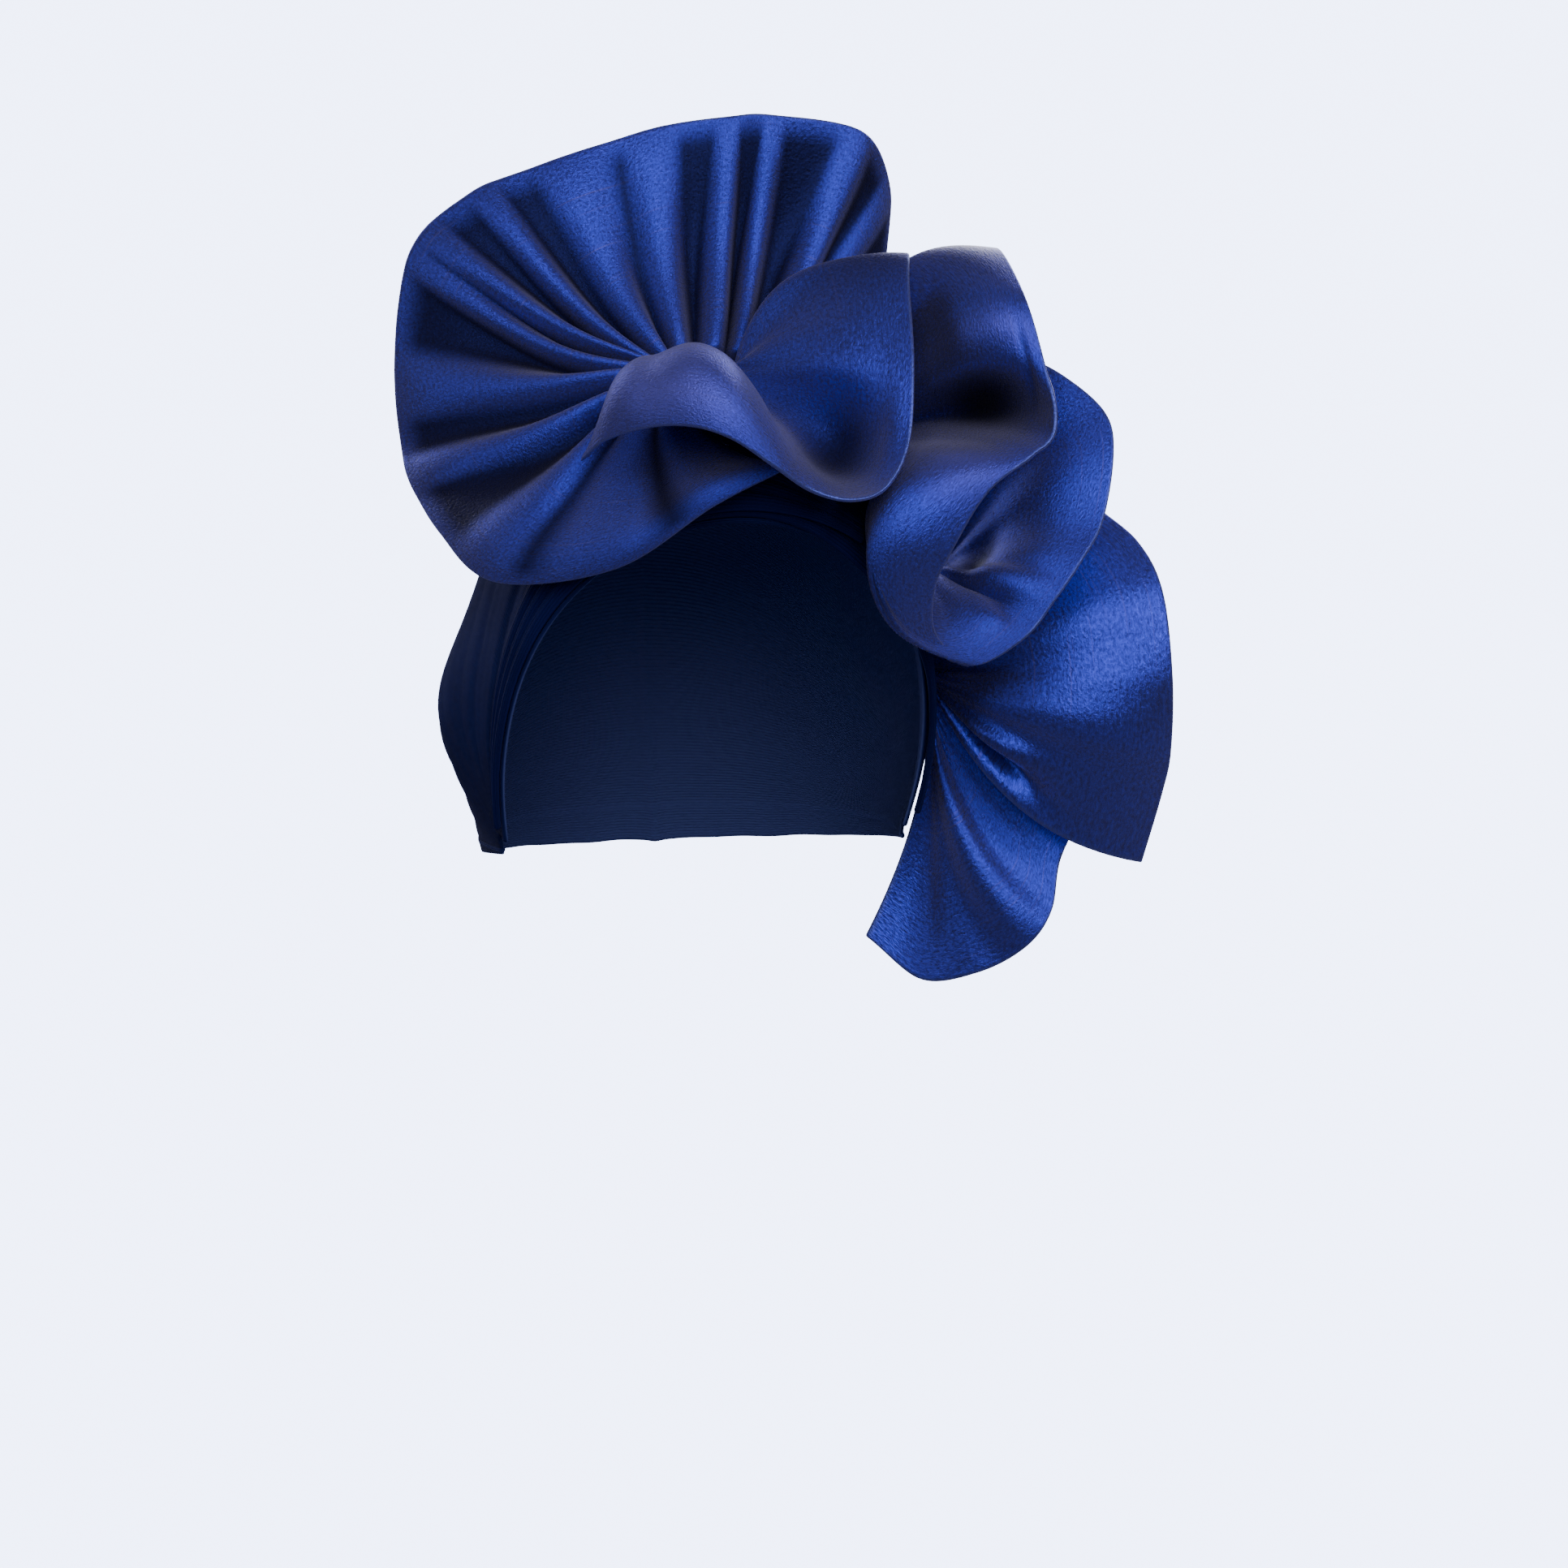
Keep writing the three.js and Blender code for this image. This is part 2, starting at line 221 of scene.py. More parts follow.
def new_material(name):
    """An empty material with its output node."""
    material = bpy.data.materials.new(name)
    material.use_nodes = True
    tree = material.node_tree
    tree.nodes.clear()
    return material, tree, tree.nodes.new("ShaderNodeOutputMaterial")


BAND_OF_WAVE = np.pi / 10  # how long one band of a wave texture is where its scale is 1
RIB_PITCH = 1.2083  # millimetres from rib to rib
BLOTCHES_PER_METRE = 60.0  # the dye's faint blotches are 17 mm across
# The inner face's colour: the back of the knit, made paler as painted light for the shaded inside.
KNIT_BACK_AND_PAINTED_LIGHT = "#4c5896"
FIBRE_BLOOM = "#5a63a0"


# Viscose rib jersey: matt and soft, dyed navy, with faint blotches in the dye. It gives the eye fine ribs
# along the face edge, 1.2 mm apart, with painted shade between them, and a faint bloom of loose fibre
# where it turns away. Its inner face is the paler back of the knit, made paler still as painted light
# for the shaded inside of the cap.
def knitted_jersey(name, colour, shade):
    material, tree, output = new_material(name)
    place = add(tree, "ShaderNodeUVMap", {"uv_map": "cloth_mm"})
    ribs = add(tree, "ShaderNodeTexWave",
               {"bands_direction": "X", "Scale": BAND_OF_WAVE / RIB_PITCH, "Distortion": 0.5, "Detail": 1.0,
                "Detail Scale": 2.0},
               Vector=place.outputs["UV"])
    body = add(tree, "ShaderNodeTexCoord")
    blotches = add(tree, "ShaderNodeTexNoise", {"Scale": BLOTCHES_PER_METRE, "Detail": 4.0},
                   Vector=body.outputs["Object"])
    # The colour goes towards the darker shade with the dye's blotches and, as painted shade, between the
    # ribs.
    dye_blotches_and_painted_groove_shade = add(tree, "ShaderNodeMix", {"data_type": "FLOAT", "Factor": 0.45},
                 A=blotches.outputs["Fac"], B=ribs.outputs["Fac"])
    tint = add(tree, "ShaderNodeMix", {"data_type": "RGBA", "A": linear(shade), "B": linear(colour)},
               Factor=dye_blotches_and_painted_groove_shade.outputs["Result"])
    side = add(tree, "ShaderNodeAttribute", {"attribute_name": "inner"})
    # The inner face is painted paler, partly the back of the knit and partly painted light for the shaded
    # inside.
    lined = add(tree, "ShaderNodeMix", {"data_type": "RGBA", "B": linear(KNIT_BACK_AND_PAINTED_LIGHT)},
                Factor=side.outputs["Fac"], A=tint.outputs["Result"])
    bump = add(tree, "ShaderNodeBump", {"Strength": 0.8, "Distance": 0.0003}, Height=ribs.outputs["Fac"])
    shader = add(tree, "ShaderNodeBsdfPrincipled",
                 {"Roughness": 0.85, "Specular IOR Level": 0.1, "Sheen Weight": 0.12, "Sheen Roughness": 0.4,
                  "Sheen Tint": linear(FIBRE_BLOOM)},
                 Base_Color=lined.outputs["Result"], Normal=bump.outputs["Normal"])
    tree.links.new(shader.outputs["BSDF"], output.inputs["Surface"])
    return material


# Heights in metres of what stands off the cap.
FACE_FOLDS = 0.0016
SIDE_FOLDS = 0.0006
SEAM = 0.0009
HEM = 0.0006
NAPE_GATHERS = 0.0003
SEAM_HALF_WIDTH = 0.009  # as a share of an arch


def cap_folds(back, turn):
    """How far the cap's cloth stands proud, in metres. Its folds are cosines of back, highest low on each
    side, where the square of the sine of twice the turn peaks, and those at the face edge die out
    backwards. The back seam is a bell curve over the middle line and the hem a step. The gathers above
    the hem are two cosines of turn that die out upwards."""
    corner = np.sin(2 * np.pi * turn) ** 2 * np.exp(-2.2 * np.sin(np.pi * turn) ** 2)
    height = FACE_FOLDS * corner * np.exp(-6 * back) * (np.cos(95 * back + 2) + 0.5 * np.cos(151 * back))
    height += SIDE_FOLDS * corner * np.cos(60 * back + 3 * turn)
    height += SEAM * np.exp(-(((turn - 0.5) / SEAM_HALF_WIDTH) ** 2)) * smooth_step(0.3, 0.45, back)
    height += HEM * smooth_step(0.955, 0.965, back)
    pleats = np.cos(76 * turn) + np.cos(47 * turn + 1)
    height += NAPE_GATHERS * np.exp(-12 * (1 - back)) * np.sin(np.pi * turn) ** 2 * pleats
    return height


JERSEY_WALL = 0.0015
CAP_FLAT = (0.330, 0.300)
CAP_ENDS = 0.012  # share of an arch left out at each end, where all arches meet in a corner
back, turn = grid(260, 180)
turn = CAP_ENDS + (1 - 2 * CAP_ENDS) * turn
middle = on_cap(back, turn, cap_folds(back, turn))[::-1]
cap = cloth("cap_cloth", middle, JERSEY_WALL, CAP_FLAT)
cap.data.materials.append(knitted_jersey("navy_jersey", "#222c74", "#0d133c"))
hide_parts("cap")
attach(cap, "root")

# The brow bands. Two strips of the same jersey, each laid in lengthwise tucks and stitched down at the
# lower corners. They follow the face edge and cross over the middle of the brow, the right one on top.

TUCK_HEIGHT = 0.0007
BAND_LIFT = 0.00225  # from the middle of the cap's wall to the middle of the band's
BAND_INSET = 0.004  # from the face edge to the band, as a share of the cap's back
# Turn at the foot and at the end, width as a share of the cap's back, lift where it crosses the other,
# how far it droops over the brow, number of tucks.
BANDS = {
    "brow_band_left": (0.97, 0.45, 0.045, 0.0, 0.008, 2),
    "brow_band_right": (0.03, 0.64, 0.09, 0.0033, 0.0, 3),
}
# Width, length and area as folded.
BAND_SIZES = {
    "brow_band_left": (0.014, 0.160, 0.0013),
    "brow_band_right": (0.020, 0.192, 0.0024),
}


def brow_band(row, side, along):
    """A band's middle: side goes across it from the face edge and along follows it from its foot. It
    widens to its full width over its first fifth and narrows from three fifths on. Its tucks are as high
    as a sine without its sign. It droops forward over the brow by the fourth power of a sine."""
    foot, end, width, climb, droop, tucks = row
    turn = foot + (end - foot) * along
    crossing = smooth_step(0.50, 0.67, along)
    width *= 0.35 + 0.65 * smooth_step(0.0, 0.2, along) - 0.7 * smooth_step(0.6, 1.0, along)
    tuck = TUCK_HEIGHT * np.abs(np.sin(np.pi * tucks * side))
    lift = BAND_LIFT + tuck + climb * crossing
    forward = unit(on_cap(0 * side, turn, lift) - on_cap(0.02 + 0 * side, turn, lift))
    hang = droop * np.sin(np.pi * along) ** 4 * (1 - 0.5 * side)
    return on_cap(BAND_INSET + width * side, turn, lift) + forward * hang[..., None]


band_jersey = knitted_jersey("navy_jersey_doubled", "#11195a", "#0c1342")
for node, row in BANDS.items():
    middle = brow_band(row, *grid(40, 240))
    if row[0] < row[1]:
        middle = middle[::-1]
    width, length, area = BAND_SIZES[node]
    band = cloth(node + "_cloth", middle, JERSEY_WALL, (width, length))
    band.data.materials.append(band_jersey)
    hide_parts(node)
    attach(band, "root")

# The fan. A deep ruffle of stiff navy satin, gathered by hand into a row of stitches over the crown and
# spread into rounded pleats that stand up behind the brow and come round to its right side.

EYE_DISTANCE = 0.900
EYE_MIDDLE = (0.0285, -0.0415)  # the middle of the front view, across and up from the origin
VIEW_TURN, VIEW_RISE = np.radians(-12), np.radians(10)
ACROSS = np.array([np.cos(VIEW_TURN), np.sin(VIEW_TURN), 0])
OUT = np.array([
    np.sin(VIEW_TURN) * np.cos(VIEW_RISE),
    -np.cos(VIEW_TURN) * np.cos(VIEW_RISE),
    np.sin(VIEW_RISE),
])
UP = np.cross(OUT, ACROSS)
SATIN_WALL = 0.0013
SEWN_LIFT = 0.0015  # from the middle of the cap's wall to the middle of the satin's edge
GATHER_HEIGHT = 0.0004
FAN_SAG = 0.004  # how far the fan sinks half way down its ribs
# FAN_SHADE is how dark the painted shade between two pleats is.
FAN_SHADE = 0.9  # how deep the hollow between two pleats counts

# Ribs of the fan, from its left end round to the brow.
# Columns: sewn edge back, turn; bend across, up, out; rim across, up, out. Lengths in millimetres.
FAN = [
    (0.255, 0.575, 50, 96, 20, 59, 115, 10),
    (0.255, 0.565, 47, 108, 26, 60.5, 142, 15),
    (0.255, 0.55, 40, 118, 29, 52, 159, 26),
    (0.255, 0.53, 22, 122, 32, 25, 164, 36),
    (0.255, 0.503, 10, 122, 36, 11.5, 163.5, 38),
    (0.255, 0.464, -9, 118, 42, -10.75, 160, 40),
    (0.25, 0.444, -23, 110, 50, -43, 149.5, 42),
    (0.245, 0.434, -35, 102, 56, -66, 141, 44),
    (0.24, 0.427, -43, 97, 60, -84, 126, 44),
    (0.23, 0.42, -47, 90, 64, -90, 104, 42),
    (0.215, 0.416, -50, 80, 68, -90, 76, 42),
    (0.198, 0.413, -48, 66, 79, -87, 55, 46),
    (0.187, 0.413, -45, 56, 90, -77, 36, 62),
    (0.178, 0.416, -38, 49, 98, -59, 21, 78),
    (0.168, 0.424, -18, 48, 106, -23, 25.5, 95),
    (0.16, 0.436, -2, 56, 106, 6.5, 44.5, 101),
    (0.16, 0.452, 14, 62, 102, 27, 55, 100),
]
# Ridges of the fan's folds, by the rows of FAN. Columns: row at the rim, row at the seam; half width at
# the rim and at the seam, in rows; height at the rim, pull of the height half way and height at the seam,
# in millimetres.
FAN_FOLDS = [
    (1, 1.2, 0.28, 0.38, 0.3, 3.3, 5.5),
    (2, 2.1, 0.26, 0.36, 0.5, 6.7, 8.7),
    (3, 3.15, 0.16, 0.34, 0.2, 5.8, 7.9),
    (4, 4.05, 0.22, 0.36, 0.3, 7.5, 8.7),
    (5.05, 5, 0.30, 0.38, 0.7, 8.3, 8.7),
    (5.85, 6, 0.40, 0.36, 1.2, 7.5, 8.7),
    (6.95, 7, 0.21, 0.34, 0.6, 7.5, 8.7),
    (7.85, 7.9, 0.22, 0.36, 0.4, 9.9, 9.5),
    (8.25, 8.95, 0.22, 0.34, 0.4, 7.5, 7.9),
    (9.85, 9.8, 0.46, 0.40, 0.8, 9.9, 8.7),
    (11.1, 10.9, 0.29, 0.36, 0.8, 8.3, 7.9),
    (12.7, 12.1, 0.45, 0.50, 0.6, 4.9, 6.4),
    (13.9, 13.4, 0.62, 0.60, 0.3, 2.5, 3.2),
    (15.5, 15, 0.70, 0.70, 0.3, 2.5, 2.4),
]


def sight(across_up_out):
    """Points of the front view, in millimetres across, up and out towards the eye, as points in space.
    What is nearer to the eye looks larger, so across and up are scaled by one less the share of the eye's
    distance it has come."""
    across, up, out = (across_up_out[..., k] / 1000 for k in range(3))
    scale = 1 - out / EYE_DISTANCE
    across = scale * (across - EYE_MIDDLE[0]) + EYE_MIDDLE[0]
    up = scale * (up - EYE_MIDDLE[1]) + EYE_MIDDLE[1]
    return across[..., None] * ACROSS + up[..., None] * UP + out[..., None] * OUT


def ridges(folds, place, depth):
    """How high a sheet's folds stand, in metres, and how much painted shade lies between them, from 0 to
    1. A fold's section is a bell curve with a broad top. From rim to seam its place and half width change
    evenly, and its height by a quadratic curve. The crest is a power of the bell that falls off more
    slowly, and the painted shade is what the highest crest leaves, eased by a smooth step."""
    height, crest = np.zeros_like(place), np.zeros_like(place)
    for rim_place, seam_place, rim_width, seam_width, rim_height, pull, seam_height in folds:
        off = place - rim_place - (seam_place - rim_place) * depth
        bell = np.exp(-(np.abs(off / (rim_width + (seam_width - rim_width) * depth)) ** 2.5))
        top = rim_height * (1 - depth) ** 2 + pull * 2 * depth * (1 - depth) + seam_height * depth**2
        height += bell * top
        crest = np.maximum(crest, bell**0.55)
    return height / 1000, smooth_step(0.06, 0.62, 1 - crest)


def gathers(place, depth, pitch):
    """Fine uneven pleats at the sewn edge, in metres: two cosines of unlike pitch that die out towards
    the rim. pitch is the number of pleats in a row of the sheet's table."""
    fade = smooth_step(0.8, 1.0, depth) * (1 - 0.5 * smooth_step(0.9, 1.0, depth))
    waves = np.cos(2 * np.pi * pitch * place) + 0.7 * np.cos(2 * np.pi * 0.62 * pitch * place + 1)
    return GATHER_HEIGHT * fade * waves


def fan(place, depth):
    """The fan's middle and the painted shade in its valleys. Each rib is a quadratic curve from the rim by
    its bend to the sewn edge. The folds and gathers stand off the ribs along their normal, less a sag,
    and all of them end just before the stitches."""
    row = row_at(FAN, place)
    near, t = (1 - depth)[..., None], depth[..., None]
    sewn = on_cap(row[..., 0], row[..., 1], SEWN_LIFT)
    middle = sight(row[..., 5:8]) * near**2 + sight(row[..., 2:5]) * 2 * near * t + sewn * t**2
    rows = place * (len(FAN) - 1)
    height, painted_light_and_shade = ridges(FAN_FOLDS, rows, depth)
    height = (height + gathers(rows, depth, 1.7)) * (1 - smooth_step(0.95, 1.0, depth))
    height -= FAN_SAG * np.sin(np.pi * depth) ** 2
    # Painted shade in the valleys between the pleats, fading out at the rim.
    painted_light_and_shade = FAN_SHADE * painted_light_and_shade * smooth_step(-0.02, 0.10, depth)
    return middle + normals(middle) * height[..., None], painted_light_and_shade


# The satin's weft threads are 0.2 mm apart, too fine to show, so its patterns are drawn as coarse as they
# need to be. Numbers to a millimetre, along the strip and across it: slubs 5 mm long and 0.9 mm wide,
# grain of 1.2 mm, and thick threads 80 mm long and 1.1 mm wide.
SLUBS_PER_MM = (0.2, 1.1)
GRAINS_PER_MM = 0.85
THICK_THREADS_PER_MM = (0.012, 0.9)
DULL_FLECK, BRIGHT_FLECK = "#20278a", "#3b45d2"
THICK_THREAD = "#6a64a0"
# A pale violet blue, painted highlight where the satin should catch the light.
PAINTED_HIGHLIGHT = "#5e5cc0"
# A near black navy, painted shade in the folds and pools.
PAINTED_FOLD_SHADE = "#0a0c26"
FRAYED_EDGE = "#5f6cb4"
GLANCING_SHEEN = "#9c97b8"


# Duchess satin: polyester filament woven stiff, with a slubbed weft. The long floating threads give it a
# deep blue gloss with a fine grain and violet grey where it turns away. Painted shade makes it near black
# in the folds and pools and darker on some turned-away tops, with less sheen there, and a painted
# highlight makes it paler where it should catch the light. It is also paler along its raw edges.
def duchess_satin(name):
    material, tree, output = new_material(name)
    place = add(tree, "ShaderNodeUVMap", {"uv_map": "cloth_mm"})
    along_weft = add(tree, "ShaderNodeMapping", {"Scale": (*SLUBS_PER_MM, 1.0)}, Vector=place.outputs["UV"])
    slubs = add(tree, "ShaderNodeTexNoise", {"Scale": 1.0, "Detail": 3.0, "Roughness": 0.6},
                Vector=along_weft.outputs["Vector"])
    grain = add(tree, "ShaderNodeTexNoise", {"Scale": GRAINS_PER_MM, "Detail": 3.0, "Roughness": 0.7},
                Vector=place.outputs["UV"])
    nap = add(tree, "ShaderNodeMix", {"data_type": "FLOAT", "Factor": 0.2},
              A=grain.outputs["Fac"], B=slubs.outputs["Fac"])
    gloss = add(tree, "ShaderNodeMapRange",
                {"From Min": 0.3, "From Max": 0.7, "To Min": 0.26, "To Max": 0.33},
                Value=slubs.outputs["Fac"])
    flecks = add(tree, "ShaderNodeMapRange", {"From Min": 0.38, "From Max": 0.62},
                 Value=nap.outputs["Result"])
    tint = add(tree, "ShaderNodeMix",
               {"data_type": "RGBA", "A": linear(DULL_FLECK), "B": linear(BRIGHT_FLECK)},
               Factor=flecks.outputs["Result"])
    along_thread = add(tree, "ShaderNodeMapping", {"Scale": (*THICK_THREADS_PER_MM, 1.0)},
                       Vector=place.outputs["UV"])
    threads = add(tree, "ShaderNodeTexNoise", {"Scale": 1.0, "Detail": 1.0},
                  Vector=along_thread.outputs["Vector"])
    thick = add(tree, "ShaderNodeMapRange",
                {"From Min": 0.66, "From Max": 0.74, "To Min": 0.0, "To Max": 0.3},
                Value=threads.outputs["Fac"])
    slubbed = add(tree, "ShaderNodeMix", {"data_type": "RGBA", "B": linear(THICK_THREAD)},
                  Factor=thick.outputs["Result"], A=tint.outputs["Result"])
    # The painted light and shade: above 0 the colour goes towards the painted fold shade, below 0 towards
    # the painted highlight.
    depth = add(tree, "ShaderNodeAttribute", {"attribute_name": "painted_light_and_shade"})
    painted_highlight_share = add(tree, "ShaderNodeMapRange",
                 {"From Min": -1.0, "From Max": 0.0, "To Min": 0.75, "To Max": 0.0},
                 Value=depth.outputs["Fac"])
    with_painted_highlight = add(tree, "ShaderNodeMix", {"data_type": "RGBA", "B": linear(PAINTED_HIGHLIGHT)},
                 Factor=painted_highlight_share.outputs["Result"], A=slubbed.outputs["Result"])
    with_painted_shade = add(tree, "ShaderNodeMix", {"data_type": "RGBA", "B": linear(PAINTED_FOLD_SHADE)},
               Factor=depth.outputs["Fac"], A=with_painted_highlight.outputs["Result"])
    edge = add(tree, "ShaderNodeAttribute", {"attribute_name": "edge_mm"})
    fray = add(tree, "ShaderNodeMapRange",
               {"From Min": 0.3, "From Max": 1.3, "To Min": 0.5, "To Max": 0.0},
               Value=edge.outputs["Fac"])
    worn = add(tree, "ShaderNodeMix", {"data_type": "RGBA", "B": linear(FRAYED_EDGE)},
               Factor=fray.outputs["Result"], A=with_painted_shade.outputs["Result"])
    bump = add(tree, "ShaderNodeBump", {"Strength": 1.0, "Distance": 0.00034}, Height=nap.outputs["Result"])
    # The sheen is weakened where the painted shade lies, to darken the folds further.
    veil = add(tree, "ShaderNodeMapRange",
               {"From Min": 0.1, "From Max": 0.9, "To Min": 0.55, "To Max": 0.12},
               Value=depth.outputs["Fac"])
    shader = add(tree, "ShaderNodeBsdfPrincipled",
                 {"Metallic": 0.92, "Sheen Roughness": 0.7, "Sheen Tint": linear(GLANCING_SHEEN)},
                 Base_Color=worn.outputs["Result"], Sheen_Weight=veil.outputs["Result"],
                 Roughness=gloss.outputs["Result"], Normal=bump.outputs["Normal"])
    tree.links.new(shader.outputs["BSDF"], output.inputs["Surface"])
    return material


navy_satin = duchess_satin("navy_duchess_satin")
middle, painted_light_and_shade = fan(*grid(500, 90))
fan_ruffle = cloth("fan_ruffle_cloth", middle, SATIN_WALL, (0.560, 0.095), painted_light_and_shade)
fan_ruffle.data.materials.append(navy_satin)
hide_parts("fan_ruffle")
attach(fan_ruffle, "root")

# The front curl. The same strip of satin rolls forward over the gather and down across the middle of the
# brow, then opens upward into a bowl. It is sewn to the cap along its hidden edge, and its rim is left
# raw.

# Ribs, each a smooth curve from the free rim to the sewn edge.
# Columns: rim across, up, out; lip across, up, out; fold across, up, out; sewn edge back, turn.
FRONT_CURL = [
    (-33.5, 58.5, 93, -31, 63, 97, -24, 70, 99, 0.178, 0.447),
    (-26, 65, 103, -27, 79, 105, -21, 94, 101, 0.175, 0.455),
    (-12, 69, 113, -13, 84, 116, -10, 106, 111, 0.18, 0.465),
    (1, 69, 118, 0, 84, 121, 1, 112, 115, 0.18, 0.475),
    (13, 65, 119, 14, 80, 121, 12, 105, 112, 0.185, 0.485),
    (25, 57, 115, 27, 69, 113, 22, 88, 97, 0.19, 0.49),
    (37, 49, 107, 37, 58, 101, 24, 76, 82, 0.195, 0.495),
    (49.5, 46, 104, 46, 52, 87, 26, 74, 66, 0.2, 0.5),
    (60, 50, 97, 54, 57, 81, 28, 78, 62, 0.205, 0.505),
    (67, 64, 90, 56, 71, 79, 29, 84, 65, 0.21, 0.51),
    (68, 88, 84, 56, 88, 80, 28, 90, 69, 0.215, 0.515),
    (66.5, 112, 75, 54, 108, 74, 26, 99, 64, 0.22, 0.52),
    (66.5, 121, 68, 50, 122, 67, 18, 116, 59, 0.225, 0.525),
    (66, 119, 64, 50, 119, 62, 24, 112, 54, 0.228, 0.53),
    (65, 109, 61, 50, 107, 57, 36, 99, 49, 0.23, 0.545),
]
# Folds of the curl, in rows of FRONT_CURL and with the columns of FAN_FOLDS. A height below zero is a
# valley.
CURL_FOLDS = [
    (1.4, 1.2, 0.5, 0.3, 0.0, 3.0, 1.0),
    (5.6, 5.4, 0.8, 0.4, 0.0, -2.0, 1.0),
    (11.2, 10.6, 0.7, 0.4, 0.0, 2.0, 2.0),
]
# Dents and swells of the curl. Columns: row, share of the depth; half length in rows, half depth; height
# in millimetres; painted light and shade, from -1, a painted highlight, to 1, painted shade.
CURL_DENTS = [
    (7.9, 0.38, 1.3, 0.17, -4.0, 0.85),
    (10.0, 0.42, 0.9, 0.25, 2.5, 0.0),
    (8.9, 0.10, 0.8, 0.08, 1.5, 0.0),
    (12.6, 0.60, 0.6, 0.20, 2.0, 0.0),
    (12.1, 0.15, 1.1, 0.40, 0.0, 0.7),
    (2.2, 0.25, 1.9, 0.30, 0.0, -1.0),
]


def dents(table, place, depth):
    """How high a sheet's round dents and swells stand, in metres, and the painted light and shade at a
    point, from -1, painted highlight, to 1, painted shade: sums of bell-shaped bumps, whose place and half
    sizes are given in rows along the sheet and as shares of its depth."""
    height, painted_light_and_shade = np.zeros_like(place), np.zeros_like(place)
    for row, share, half_rows, half_share, bump, shade in table:
        bell = np.exp(-(((place - row) / half_rows) ** 2) - ((depth - share) / half_share) ** 2)
        height += bump * bell
        painted_light_and_shade += shade * bell
    return height / 1000, np.clip(painted_light_and_shade, -1, 1)


def ribs(table, folds, bumps, pitch, place, depth):
    """A sheet's middle and its painted light and shade, from its dents. A rib is the cubic curve that leaves
    its rim towards the lip and comes to its sewn edge from the fold. The sheet's folds, dents and gathers
    stand off the ribs along their normal."""
    row = row_at(table, place)
    near, t = (1 - depth)[..., None], depth[..., None]
    middle = (
        sight(row[..., 0:3]) * near**3
        + sight(row[..., 3:6]) * 3 * near**2 * t
        + sight(row[..., 6:9]) * 3 * near * t**2
        + on_cap(row[..., 9], row[..., 10], SEWN_LIFT) * t**3
    )
    rows = place * (len(table) - 1)
    height, painted_light_and_shade = dents(bumps, rows, depth)
    height += ridges(folds, rows, depth)[0] + gathers(rows, depth, pitch)
    return middle + normals(middle) * height[..., None], painted_light_and_shade


middle, painted_light_and_shade = ribs(FRONT_CURL, CURL_FOLDS, CURL_DENTS, 1.3, *grid(300, 110))
front_curl = cloth("front_curl_cloth", middle, SATIN_WALL, (0.230, 0.075), painted_light_and_shade)
front_curl.data.materials.append(navy_satin)
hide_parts("front_curl")
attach(front_curl, "root")

# The side scroll. The strip of satin goes on behind the bowl as an upper petal, then falls and rolls in
# on itself above the left end of the face edge, open to the front. It is gathered and sewn down as the
# curl is.

# Ribs with the columns of FRONT_CURL, and folds and dents with those of FAN_FOLDS and CURL_DENTS.
SIDE_SCROLL = [
    (91, 114, 34, 78, 116, 32, 64, 106, 30, 0.255, 0.65),
    (94, 123, 56, 80, 124.5, 54, 52, 130, 45, 0.255, 0.655),
    (101.5, 110, 74, 90, 113, 75, 75, 110, 70, 0.25, 0.662),
    (107.75, 90, 79, 95, 93, 79, 77, 90, 68, 0.24, 0.67),
    (111.75, 72, 83, 97, 75, 60, 74, 75, 42, 0.235, 0.675),
    (105, 60, 87, 92, 65, 80, 72, 66, 62, 0.22, 0.68),
    (91, 49, 91, 80, 57, 94, 60, 62, 86, 0.19, 0.69),
    (80, 31, 91, 57, 40, 101, 49, 55, 101, 0.175, 0.7),
    (74.5, 18.75, 86, 46, 20, 99, 46, 42, 106, 0.17, 0.715),
    (75, 4.25, 79, 56, -3, 92, 54, 26, 101, 0.162, 0.735),
    (86.75, -4.5, 72, 82, -3, 74, 74, 14, 76, 0.15, 0.76),
    (102, 3.5, 68, 94, 8, 68, 80, 22, 68, 0.155, 0.775),
    (110, 13, 66, 100, 16, 64, 82, 26, 66, 0.155, 0.79),
    (119, 26, 63, 106, 27, 60, 84, 30, 60, 0.17, 0.8),
    (126, 39, 57, 110, 37, 56, 86, 34, 54, 0.185, 0.81),
    (129.5, 59.5, 52, 112, 50, 53, 87, 38, 49, 0.2, 0.82),
    (127, 72.5, 47, 110, 60, 49, 86, 42, 43, 0.21, 0.83),
    (114, 84, 41, 101, 66, 44, 82, 38, 35, 0.22, 0.837),
    (98, 92, 33, 88, 68, 36, 75, 42, 32, 0.225, 0.843),
]
SCROLL_FOLDS = [
    (2.6, 2.4, 0.6, 0.4, 0.0, 2.0, 1.5),
    (4.5, 4.4, 0.35, 0.4, 1.5, -3.0, 1.5),
    (7.2, 7.4, 0.8, 0.4, 0.0, 2.0, 1.5),
    (10.2, 10.6, 0.5, 0.4, 0.5, 3.0, 1.0),
    (11.3, 11.8, 0.3, 0.3, 0.5, -3.0, -1.0),
    (12.2, 12.6, 0.35, 0.3, 0.5, 3.0, 1.0),
    (15.6, 15.2, 0.8, 0.5, 0.0, 2.0, 1.0),
]
